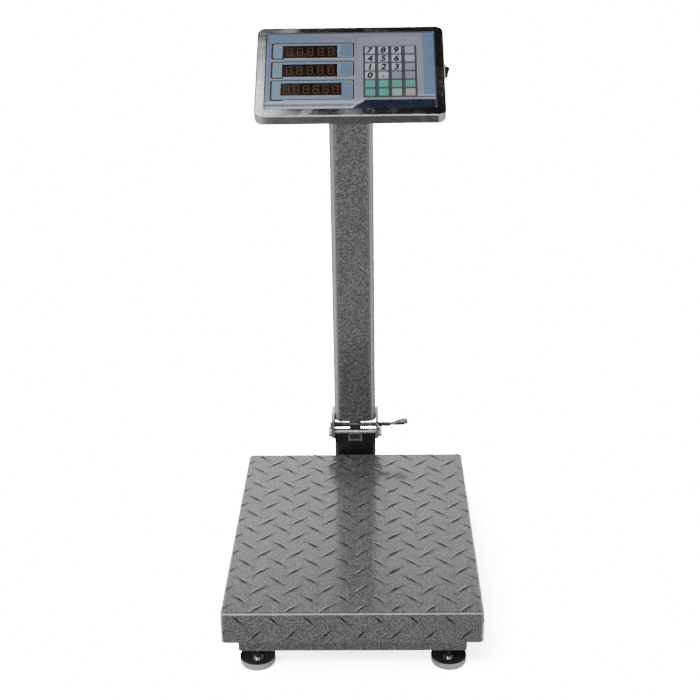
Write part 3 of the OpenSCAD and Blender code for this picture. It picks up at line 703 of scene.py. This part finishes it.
@once
def label_film(name):
    """The printed film of the face: shaded ground, frames round the displays, bands and lines."""
    face = bpy.context.scene.scale_face
    made, t, shader, place = material(name)
    axes = t.use(face_axes(), Vector=place)
    across, up = axes["Across"], axes["Up"]
    half_w = (reach("face_overlay", ACROSS) + reach("face_overlay", -ACROSS)) / 2
    half_h = (LABEL_HIGH - LABEL_LOW) / 2
    line = (*face.label_line, 1)
    strip = (*face.label_strip, 1)
    side = (*face.label_side, 1)
    centre = (*face.label_middle, 1)
    pale = (*face.label_field, 1)

    def area(left, low, right, high, corner=1.0, outline=0.0):
        """A printed block between its four edges, with round corners."""
        return t.use(printed_block(), Across=across, Up=up, Middle_X=(left + right) / 2 * MM,
                     Middle_Y=((low + high) / 2 - FILM_RISE) * MM, Half_width=(right - left) / 2 * MM,
                     Half_height=(high - low) / 2 * MM, Corner=corner * MM, Line=outline * MM)

    def printed(film, tone, *edges):
        """The film with one more filled block in its print."""
        return t.mix(area(*edges)["Block"], film, tone)

    film = t.mix(t.spread(across, -half_w, 0.02), side, centre)
    shade = t.spread(up, -half_h, half_h, 1.0, 0.0)
    film = t.mix(t.math("MULTIPLY", shade, 0.25), film, strip)
    # Strips along the foot of the label's left half.
    for low, high, tone in ((20.6, 24.4, strip), (17.4, 18.6, PRINT_BLUE), (12.6, 15.6, PRINT_AND_HIGHLIGHT_WHITE)):
        film = printed(film, tone, -106.4, low, 30, high, 0.4)
    # Grey panel round the keys, the upright band at its right and the white line under the band.
    film = printed(film, PRINT_GREY, 9.3, 27.9, 93.1, 130.5, 5.0)
    film = printed(film, (*face.label_band, 1), 92.6, 32.7, 106.5, 136.4, 1.5)
    film = printed(film, PRINT_AND_HIGHLIGHT_WHITE, 84, 32.1, 105.4, 33.1, 0.4)
    # The white line beside the slant, the dark line over the foot band, and the band itself.
    slant = t.math("ADD", across, t.math("MULTIPLY", up, -SLANT))
    edge = (SLANT_FOOT[0] - SLANT * (SLANT_FOOT[1] - FILM_RISE)) * MM
    off = t.math("ABSOLUTE", t.math("SUBTRACT", slant, edge - BESIDE_SLANT * MM))
    beside = t.spread(off, BESIDE_WIDTH[0] * MM, BESIDE_WIDTH[1] * MM, 1.0, 0.0)
    film = t.mix(t.math("MULTIPLY", beside, area(-8, 12, 22, 30.5)["Block"]), film, PRINT_AND_HIGHLIGHT_WHITE)
    film = printed(film, line, 20, 29.6, BAND_RIGHT, 30.9, 0.4)
    beyond = t.spread(slant, edge, edge + 0.4 * MM)
    film = t.mix(t.math("MULTIPLY", beyond, area(-6, 12.2, BAND_RIGHT, 25.9)["Block"]), film, line)
    # Frames round the displays: a caption box at the left and a field round the window.
    for low, high, box_low, box_high in FRAME_ROWS:
        # First a lower white copy, the painted highlight under the frame, then the frame in the line colour.
        for drop, tone in ((FRAME_DROP, PRINT_AND_HIGHLIGHT_WHITE), (0.0, line)):
            film = printed(film, tone, FRAME_LEFT, low - drop, FRAME_RIGHT, high - drop, 3.0)
            film = printed(film, tone, FRAME_LEFT, box_low - drop, CAPTION_RIGHT, box_high - drop, 3.0)
        film = printed(film, pale, FRAME_LEFT + 2.3, low + 1.3, FRAME_RIGHT - 1.6, high - 1.3, 2.0)
        film = printed(film, pale, FRAME_LEFT + 2.3, box_low + 2.2, CAPTION_RIGHT - 2.2, box_high - 1.3, 2.0)
        film = printed(film, side, -12.6, low + 2.8, FRAME_RIGHT - 2.8, high - 2.8, 1.6)
    # Thin border of the whole film.
    border = area(-107.4, 11.9, 107.4, 136.8, 5.0, 0.5)
    film = t.mix(border["Outline"], film, line)
    t.feed(shader.inputs["Base Color"], film)
    haze = t.use(soft_cloud(), Vector=place, Size=0.03, Low=0.4, High=0.7)["Value"]
    t.feed(shader.inputs["Roughness"], t.spread(haze, 0, 1, 0.22, 0.34))
    grain = t.use(moulded_grain(), Vector=place, Fineness=2600.0)
    bump(t, shader, grain["Height"], 0.15, 0.00003)
    return made


# ---- Operators ----


class SCALE_OT_paint_platform(bpy.types.Operator):
    """Paint the pan, the frame under it and the load cell between them"""
    bl_idname = "scale.paint_platform"
    bl_label = "Paint platform"

    def execute(self, context):
        paint(hammertone(), "pan", "front_rail", "rear_rail", "frame_spine")
        paint(dark_enamel(), "column_arm", "stub")
        paint(zinc_plate(), "load_plate", "foot_locknuts")
        paint(milled_aluminium(), "load_cell")
        paint(black_steel(), "load_cell_bolts")
        paint(black_rubber(), "pan_pads")
        return {"FINISHED"}


# The lenses lean both ways by this angle, in degrees.
LENS_LEAN = 45
# Where the first lens of each lean lies from the pan's left front corner, in millimetres.
FIRST_LENSES = {LENS_LEAN: (0, 10), -LENS_LEAN: (20, 30)}
# The radius of the pan's folds, in millimetres.
FOLD = 3.5
# A lens starts this far inside the sheet and has a wall this high, in millimetres, before its flanks slope
# in. Each flank and the rim of its crown take these shares of the lens's width and height.
LENS_SUNK = 0.2
LENS_WALL = 0.1
FLANK_WIDTH = 0.24
FLANK_RISE = 0.75
CROWN_WIDTH = 0.12
CROWN_RISE = 0.25
# A lens is laid, and cut off at the margin, if its middle lies past it by at most this share of its reach.
PAST_MARGIN = 0.3


class SCALE_OT_press_pattern(bpy.types.Operator):
    """Press the raised lens pattern into the pan's sheet, top and skirt"""
    bl_idname = "scale.press_pattern"
    bl_label = "Press pattern"

    def execute(self, context):
        sizes = context.scene.scale_pattern
        low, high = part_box("pan")
        across, deep, skirt = high - low
        lens = self.make_lens(sizes)
        firsts = [(degrees, x * MM, y * MM) for degrees, (x, y) in FIRST_LENSES.items()]
        pieces = [self.field(lens, degrees, x, y, sizes, (0, 0, across, deep)) for degrees, x, y in firsts]
        top = joined(pieces, "pan_pattern_top")
        top.location = (low.x, low.y, high.z)
        apply_place(top)
        # On the skirts the lenses are shifted by what a fold's arc is longer than its radius.
        bend = FOLD * MM * (math.pi / 2 - 1)
        quarter = math.pi / 2
        # The skirts at the front, rear, left and right: the lenses' shift, the stretch of flat sheet past the
        # fold, how far it is moved to fold at the origin, its turn, and the corner that it goes to.
        skirts = (((0, bend), (0, -skirt, across, 0), (0, 0, 0), (quarter, 0, 0), (low.x, low.y, high.z)),
                  ((0, -bend), (0, deep, across, deep + skirt), (0, -deep, 0), (-quarter, 0, 0),
                   (low.x, high.y, high.z)),
                  ((bend, 0), (-skirt, 0, 0, deep), (0, 0, 0), (0, -quarter, 0), (low.x, low.y, high.z)),
                  ((-bend, 0), (across, 0, across + skirt, deep), (-across, 0, 0), (0, quarter, 0),
                   (high.x, low.y, high.z)))
        sides = []
        for degrees, x, y in firsts:
            for shift, sheet, back, turn, corner in skirts:
                side = self.field(lens, degrees, x + shift[0], y + shift[1], sizes, sheet)
                side.location = back
                apply_place(side)
                side.rotation_euler = turn
                side.location = corner
                apply_place(side)
                sides.append(side)
        pattern = joined([top] + sides, "pan_pattern")
        bpy.data.objects.remove(lens)
        smooth(pattern, 50)
        finish_piece(pattern, "base", hammertone())
        return {"FINISHED"}

    def make_lens(self, sizes):
        """One lens: two arcs meet at its points, its flanks slope in to a low crown."""
        half, wide, rise = sizes.lens_length / 2, sizes.lens_width / 2, sizes.lens_height
        radius = (half ** 2 + wide ** 2) / (2 * wide)
        deselect()
        bpy.ops.mesh.primitive_circle_add(vertices=72, radius=radius, fill_type="NGON",
                                          location=(0, wide - radius, 0))
        lens = named("lens")
        apply_place(lens)
        edit(lens)
        bpy.ops.mesh.select_all(action="SELECT")
        bpy.ops.mesh.bisect(plane_co=(0, 0, 0), plane_no=(0, 1, 0), use_fill=False, clear_inner=True)
        bpy.ops.object.mode_set(mode="OBJECT")
        modify(lens, "MIRROR", use_axis=(False, True, False), use_clip=True, merge_threshold=0.01 * MM)
        edit(lens)
        bpy.ops.mesh.select_all(action="SELECT")
        bpy.ops.mesh.dissolve_limited()
        bpy.ops.mesh.select_all(action="SELECT")
        bpy.ops.mesh.normals_make_consistent(inside=False)
        bpy.ops.transform.translate(value=(0, 0, -LENS_SUNK * MM))
        up = (0, 0, (LENS_SUNK + LENS_WALL) * MM)
        bpy.ops.mesh.extrude_region_move(TRANSFORM_OT_translate={"value": up})
        bpy.ops.mesh.inset(thickness=FLANK_WIDTH * sizes.lens_width, depth=rise * FLANK_RISE - LENS_WALL * MM)
        bpy.ops.mesh.inset(thickness=CROWN_WIDTH * sizes.lens_width, depth=rise * CROWN_RISE)
        bpy.ops.object.mode_set(mode="OBJECT")
        return lens

    def field(self, lens, degrees, x0, y0, sizes, sheet):
        """Every lens of one lean that lies on a stretch of sheet, cut off at its bare margin."""
        left, front = (place + sizes.edge for place in sheet[:2])
        right, back = (place - sizes.edge for place in sheet[2:])
        pitch = sizes.pitch
        lens_reach = sizes.lens_length / 2 * math.cos(math.radians(LENS_LEAN))
        past = lens_reach * PAST_MARGIN
        first_x = x0 + pitch * math.ceil((left - past - x0) / pitch)
        first_y = y0 + pitch * math.ceil((front - past - y0) / pitch)
        columns = 1 + math.floor((right + past - first_x) / pitch)
        rows = 1 + math.floor((back + past - first_y) / pitch)
        piece = copy_of(lens, "lens_field")
        if columns < 1 or rows < 1:
            edit(piece)
            bpy.ops.mesh.select_all(action="SELECT")
            bpy.ops.mesh.delete(type="VERT")
            bpy.ops.object.mode_set(mode="OBJECT")
            return piece
        piece.rotation_euler = (0, 0, math.radians(degrees))
        piece.location = (first_x, first_y, 0)
        apply_place(piece)
        for count, step in ((columns, (pitch, 0, 0)), (rows, (0, pitch, 0))):
            modify(piece, "ARRAY", count=count, use_relative_offset=False, use_constant_offset=True,
                   constant_offset_displace=step)
        edit(piece)
        for place, normal in (((left, 0, 0), (-1, 0, 0)), ((right, 0, 0), (1, 0, 0)),
                              ((0, front, 0), (0, -1, 0)), ((0, back, 0), (0, 1, 0))):
            bpy.ops.mesh.select_all(action="SELECT")
            bpy.ops.mesh.bisect(plane_co=place, plane_no=normal, use_fill=True, clear_outer=True)
        bpy.ops.object.mode_set(mode="OBJECT")
        return piece


class SCALE_OT_finish_hinge(bpy.types.Operator):
    """Plate the hinge, its lock and the lock's spring"""
    bl_idname = "scale.finish_hinge"
    bl_label = "Finish hinge"

    def execute(self, context):
        paint(zinc_plate(), "hinge_barrel", "hinge_cheeks", "hinge_bolt")
        paint(black_steel(), "lock_lever", "lock_pawl")
        paint(spring_wire(), "lock_spring")
        return {"FINISHED"}


FEET = ("foot_front_left", "foot_front_right", "foot_rear_left", "foot_rear_right")
# The rubber in a foot's cup, in millimetres: its radius, where its wall starts and ends above the floor,
# its level rim, and how far it then slopes in and down. Its foot is narrower, by the share FILLING_FOOT.
FILLING_RADIUS = 19.6
FILLING_LOW = 2.7
FILLING_HIGH = 8.5
FILLING_FOOT = 0.845
FILLING_RIM = 1.0
FILLING_SLOPE = 9.0
FILLING_DIP = 3.2


class SCALE_OT_finish_feet(bpy.types.Operator):
    """Chrome the levelling feet and lay a black rubber filling into each cup"""
    bl_idname = "scale.finish_feet"
    bl_label = "Finish feet"

    def execute(self, context):
        filling = self.make_filling()
        for node in FEET:
            paint(chrome_plate(), node)
            piece = copy_of(filling, node.replace("foot", "filling"))
            piece.location = (*middle(node).xy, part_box(node)[0].z)
            finish_piece(piece, node, black_rubber())
        bpy.data.objects.remove(filling)
        return {"FINISHED"}

    def make_filling(self):
        """A rubber dish that lines the cup and slopes down to the hexagon on its floor."""
        deselect()
        bpy.ops.mesh.primitive_cylinder_add(vertices=48, radius=FILLING_RADIUS * MM,
                                            depth=(FILLING_HIGH - FILLING_LOW) * MM,
                                            location=(0, 0, (FILLING_HIGH + FILLING_LOW) / 2 * MM))
        filling = named("filling")
        apply_place(filling)
        edit(filling)
        pick(filling, "faces", lambda face: face.normal.z < -0.9)
        bpy.ops.transform.resize(value=(FILLING_FOOT, FILLING_FOOT, 1))
        pick(filling, "faces", lambda face: face.normal.z > 0.9)
        bpy.ops.mesh.inset(thickness=FILLING_RIM * MM)
        bpy.ops.mesh.inset(thickness=FILLING_SLOPE * MM, depth=-FILLING_DIP * MM)
        bpy.ops.object.mode_set(mode="OBJECT")
        smooth(filling, 30)
        return filling


class SCALE_OT_finish_head(bpy.types.Operator):
    """Finish the column, the head's housing and everything in it"""
    bl_idname = "scale.finish_head"
    bl_label = "Finish head"

    def execute(self, context):
        paint(hammertone(), "column_tube")
        paint(dark_enamel(), "head_plate")
        paint(polished_steel(), "front_housing", "rear_cover", "battery_cover")
        paint(zinc_plate(), "head_screws")
        paint(label_film(), "face_overlay")
        paint(keypad_grey(), "keypad_plate")
        paint(red_filter(), "display_windows")
        paint(black_plastic(), "display_modules", "battery", "switch_body", "switch_rocker", "power_socket")
        paint(circuit_board(), "main_board")
        return {"FINISHED"}


# The numerals lean by this share of their height and are thickened by this share of their size.
NUMERAL_LEAN = 0.18
NUMERAL_WEIGHT = 0.045
# Half the thickness of the printed ink, and how far the point sits below its key's middle, in millimetres.
INK_HALF = 0.03
POINT_DROP = 2.2


class SCALE_OT_finish_keys(bpy.types.Operator):
    """Colour the keys and print a numeral on each number key"""
    bl_idname = "scale.finish_keys"
    bl_label = "Finish keys"

    def execute(self, context):
        for node in frame["nodes"]:
            if not node.startswith("key_"):
                continue
            kind = node.split("_")[1]
            shade = kind + "_key"
            paint(key_material(shade if shade in KEY_SHADES else "number_key"), node)
            if kind.isdigit() or kind == "point":
                self.print_numeral(node, "." if kind == "point" else kind, context.scene.scale_face.numeral)
        return {"FINISHED"}

    def print_numeral(self, node, mark, size):
        """Prints one numeral or the point in the middle of its key's top."""
        deselect()
        bpy.ops.object.text_add()
        text = bpy.context.object.data
        text.body = mark
        text.align_x = "CENTER"
        text.align_y = "CENTER"
        text.size = size
        text.shear = NUMERAL_LEAN
        text.offset = NUMERAL_WEIGHT * size
        text.extrude = INK_HALF * MM
        text.resolution_u = 3
        bpy.ops.object.convert(target="MESH")
        numeral = named(node.replace("key", "numeral"))
        left, right = (end(corner[0] for corner in numeral.bound_box) for end in (min, max))
        low, high = (end(corner[1] for corner in numeral.bound_box) for end in (min, max))
        spot = on_face(middle(node))
        lift = reach(node, OUT) - FACE_ORIGIN.dot(OUT)
        down = POINT_DROP * MM if mark == "." else 0
        centred = Vector((spot.x - (left + right) / 2, spot.y - (low + high) / 2 - down, lift))
        numeral.rotation_euler = (TILT, 0, 0)
        numeral.location = FACE_ORIGIN + ACROSS * centred.x + UP_FACE * centred.y + OUT * centred.z
        finish_piece(numeral, node, ink())


# The rows of digits, in millimetres: name, middle across and up from the label's middle, how many digits,
# and their pitch.
DIGIT_ROWS = (("digits_top", -50.9, 31.8, 5, 13.2), ("digits_middle", -50.9, 0.8, 5, 13.2),
              ("digits_low", -49.1, -30.3, 6, 12.3))
# One digit, in millimetres: the height and width that its segments' middle lines span, the radius of their
# pointed ends, the gap where two meet, the point's radius and its place to the right, and how thick it all
# is and how deep it is sunk in the window's face.
DIGIT_TALL = 12.4
DIGIT_WIDE = 6.4
SEGMENT_RADIUS = 0.85
SEGMENT_GAP = 0.5
POINT_RADIUS = 0.8
POINT_SIDE = 2.2
SEGMENT_THICKNESS = 0.09
SEGMENT_SUNK = 0.05


class SCALE_OT_lay_digits(bpy.types.Operator):
    """Lay the seven segments and the point of each unlit digit into the windows"""
    bl_idname = "scale.lay_digits"
    bl_label = "Lay digits"

    def execute(self, context):
        digit = self.make_digit(DIGIT_TALL * MM, DIGIT_WIDE * MM)
        lift = reach("display_windows", OUT) - FACE_ORIGIN.dot(OUT) - SEGMENT_SUNK * MM
        for name, x, y, count, pitch in DIGIT_ROWS:
            row = copy_of(digit, name)
            modify(row, "ARRAY", count=count, use_relative_offset=False, use_constant_offset=True,
                   constant_offset_displace=(pitch * MM, 0, 0))
            start = x * MM - pitch * MM * (count - 1) / 2
            row.rotation_euler = (TILT, 0, 0)
            row.location = FACE_ORIGIN + ACROSS * start + UP_FACE * y * MM + OUT * lift
            finish_piece(row, "column", segment_face())
        bpy.data.objects.remove(digit)
        return {"FINISHED"}

    def make_digit(self, tall, wide):
        """One figure of eight from seven pointed segments, and its point at the lower right."""
        upright = self.make_bar("segment", 6, SEGMENT_RADIUS * MM, tall / 2 - SEGMENT_GAP * MM)
        bars = []
        for x in (-wide / 2, wide / 2):
            for y in (-tall / 4, tall / 4):
                bars.append(copy_of(upright, "segment"))
                bars[-1].location = (x, y, 0)
        level = self.make_bar("segment", 6, SEGMENT_RADIUS * MM, wide - SEGMENT_GAP * MM)
        level.rotation_euler = (0, 0, math.pi / 2)
        for y in (-tall / 2, 0, tall / 2):
            bars.append(copy_of(level, "segment"))
            bars[-1].location = (0, y, 0)
        bars.append(self.make_bar("point", 12, POINT_RADIUS * MM, 2 * POINT_RADIUS * MM))
        bars[-1].location = (wide / 2 + POINT_SIDE * MM, -tall / 2, 0)
        for bar in bars:
            apply_place(bar)
        bpy.data.objects.remove(upright)
        bpy.data.objects.remove(level)
        return joined(bars, "digit")

    def make_bar(self, name, corners, radius, long):
        """A thin bar with pointed or round ends: a circle pulled apart and extruded."""
        deselect()
        bpy.ops.mesh.primitive_circle_add(vertices=corners, radius=radius, fill_type="NGON")
        bar = named(name)
        edit(bar)
        for side in (-1, 1):
            pick(bar, "verts", lambda vert: vert.co.y * side > 0.01 * MM)
            bpy.ops.transform.translate(value=(0, side * (long / 2 - radius), 0))
        bpy.ops.mesh.select_all(action="SELECT")
        bpy.ops.mesh.extrude_region_move(TRANSFORM_OT_translate={"value": (0, 0, SEGMENT_THICKNESS * MM)})
        bpy.ops.mesh.select_all(action="SELECT")
        bpy.ops.mesh.normals_make_consistent(inside=False)
        bpy.ops.object.mode_set(mode="OBJECT")
        return bar


# How the studio's light depends on direction: the two ends between which one light passes into the next,
# along x to the right, y to the rear or z upwards, where 1 is straight that way.
BEHIND = (0.1, 0.5)
SWEEP_TOP = (0.515, 0.563)
SWEEP_SIDES = (-0.15, 0.15)
WALL_TOP = (0.15, 0.35)
WINDOW_SIDE = (-0.16, -0.06)
OVERHEAD = (0.62, 0.80)
PANEL_SIDE = (-0.093, -0.065)
PANEL_BACK = (0.04, 0.085)
# The lamps: name, place, the setting with the power, width and height. All aim at the same place.
LAMPS = (("left_strip", (-0.80, -1.15, 0.6), "key", 0.3, 1.2),
         ("right_strip", (0.85, -1.15, 0.6), "fill", 0.3, 1.2),
         ("front_lamp", (0.0, -0.75, 0.72), "lamp", 0.5, 0.05))
LAMP_AIM = Vector((0, 0.15, 0.35))
# The camera's place, and how far it looks down, turns to the left and rolls, in degrees.
CAMERA_PLACE = (0.0268, -1.4666, 0.9126)
CAMERA_DOWN = 22.13
CAMERA_TURN = 1.13
CAMERA_ROLL = -0.88


class SCALE_OT_set_stage(bpy.types.Operator):
    """Lay the floor, hang the studio lights and set up the camera"""
    bl_idname = "scale.set_stage"
    bl_label = "Set stage"

    def execute(self, context):
        stage = context.scene.scale_stage
        self.lay_floor(stage)
        self.light_studio(stage)
        self.place_camera(stage)
        return {"FINISHED"}

    def lay_floor(self, stage):
        """A pale floor that looks over-lit to the camera but lights the scale as pale paint would."""
        deselect()
        bpy.ops.mesh.primitive_plane_add(size=40, location=(0, 0, 0))
        floor = named("floor")
        made, t, shader, place = material("studio_floor")
        cloud = t.use(soft_cloud(), Vector=place, Size=0.6, Low=0.3, High=0.7)["Value"]
        shade = [value * 0.985 for value in stage.floor]
        t.feed(shader.inputs["Base Color"], t.mix(cloud, (*stage.floor, 1), (*shade, 1)))
        shader.inputs["Roughness"].default_value = 0.6
        glare = t.node("BsdfDiffuse", {"Color": (stage.glare, stage.glare, stage.glare, 1)})
        self.for_camera(t, "Material", shader.outputs[0], glare.outputs[0])
        dress(floor, made)

    def for_camera(self, t, kind, usual, seen):
        """Shows one shader to the camera and the usual one to every other ray."""
        either = t.node("MixShader", {"Fac": t.node("LightPath").outputs["Is Camera Ray"]})
        t.feed(either.inputs[1], usual)
        t.feed(either.inputs[2], seen)
        ends = [node for node in t.tree.nodes if node.bl_idname == "ShaderNodeOutput" + kind]
        t.feed(ends[0].inputs["Surface"], either.outputs[0])

    def light_studio(self, stage):
        """Makes the light of a studio that comes from all round, and hangs the lamps."""
        world = bpy.data.worlds.new("studio")
        bpy.context.scene.world = world
        world.use_nodes = True
        t = Tree(world.node_tree)
        ground = world.node_tree.nodes["Background"]
        way = t.node("SeparateXYZ", {"Vector": t.node("TexCoord").outputs["Generated"]})
        x, y, z = (way.outputs[axis] for axis in "XYZ")
        # Behind the scale: a bright sweep, brighter at the left, that darkens upwards.
        behind = t.spread(y, *BEHIND)
        sweep = t.math("MULTIPLY", t.spread(z, *SWEEP_TOP, 1.0, 0.2), t.spread(x, *SWEEP_SIDES, 4.2, 3.0))
        level = t.math("MULTIPLY", behind, sweep)
        # To the sides and towards the operator: dim walls, dark above the operator, a window at the left.
        front = t.spread(behind, 0, 1, 1.0, 0.0)
        high_up = t.spread(z, *WALL_TOP)
        walls = t.spread(high_up, 0, 1, 0.45, t.spread(x, *WINDOW_SIDE, 1.3, 0.06))
        level = t.math("ADD", level, t.math("MULTIPLY", front, walls))
        # Overhead: a large bright panel at the left, darkness at the right.
        panel = t.math("MULTIPLY", t.spread(x, *PANEL_SIDE, 1.0, 0.0), t.spread(y, *PANEL_BACK, 1.0, 0.0))
        above = t.spread(panel, 0, 1, 0.03, stage.panel)
        overhead = t.spread(z, *OVERHEAD)
        level = t.math("ADD", t.math("MULTIPLY", level, t.math("SUBTRACT", 1.0, overhead)),
                       t.math("MULTIPLY", above, overhead))
        t.feed(ground.inputs["Color"], (1, 1, 1, 1))
        t.feed(ground.inputs["Strength"], t.math("MULTIPLY", level, stage.backdrop))
        seen = t.node("Background", {"Color": (1, 1, 1, 1), "Strength": stage.glare})
        self.for_camera(t, "World", ground.outputs[0], seen.outputs[0])
        for name, place, setting, wide, tall in LAMPS:
            deselect()
            bpy.ops.object.light_add(type="AREA", location=place)
            light = named(name)
            light.data.shape = "RECTANGLE"
            light.data.energy = getattr(stage, setting)
            light.data.size = wide
            light.data.size_y = tall
            light.visible_camera = False
            light.rotation_euler = (LAMP_AIM - light.location).to_track_quat("-Z", "Y").to_euler()

    def place_camera(self, stage):
        """Looks down on the scale from in front of it, a little from the right."""
        deselect()
        bpy.ops.object.camera_add(location=CAMERA_PLACE)
        camera = named("camera")
        camera.data.lens = stage.lens
        camera.data.clip_end = 100
        turns = ((CAMERA_TURN, "Z"), (90 - CAMERA_DOWN, "X"), (CAMERA_ROLL, "Z"))
        turn, tip, roll = (Matrix.Rotation(math.radians(degrees), 3, axis) for degrees, axis in turns)
        camera.rotation_euler = (turn @ tip @ roll).to_euler()
        bpy.context.scene.camera = camera


class SCALE_PT_finish(bpy.types.Panel):
    """Lists the steps and the settings of the scale"""
    bl_idname = "SCALE_PT_finish"
    bl_label = "Platform scale"
    bl_space_type = "VIEW_3D"
    bl_region_type = "UI"
    bl_category = "Scale"

    def draw(self, context):
        for step in STEPS:
            self.layout.operator(step.bl_idname)
        for name, kind in SETTINGS.items():
            box = self.layout.box()
            for entry in kind.__annotations__:
                box.prop(getattr(context.scene, name), entry)


STEPS = (SCALE_OT_paint_platform, SCALE_OT_press_pattern, SCALE_OT_finish_hinge, SCALE_OT_finish_feet,
         SCALE_OT_finish_head, SCALE_OT_finish_keys, SCALE_OT_lay_digits, SCALE_OT_set_stage)
CLASSES = (*SETTINGS.values(), *STEPS, SCALE_PT_finish)


def register():
    for entry in CLASSES:
        bpy.utils.register_class(entry)
    for name, kind in SETTINGS.items():
        setattr(bpy.types.Scene, name, PointerProperty(type=kind))


def unregister():
    for name in SETTINGS:
        delattr(bpy.types.Scene, name)
    for entry in reversed(CLASSES):
        bpy.utils.unregister_class(entry)


def main():
    """Registers the add-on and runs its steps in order."""
    register()
    for step in STEPS:
        area, name = step.bl_idname.split(".")
        getattr(getattr(bpy.ops, area), name)()


if __name__ == "__main__":
    main()
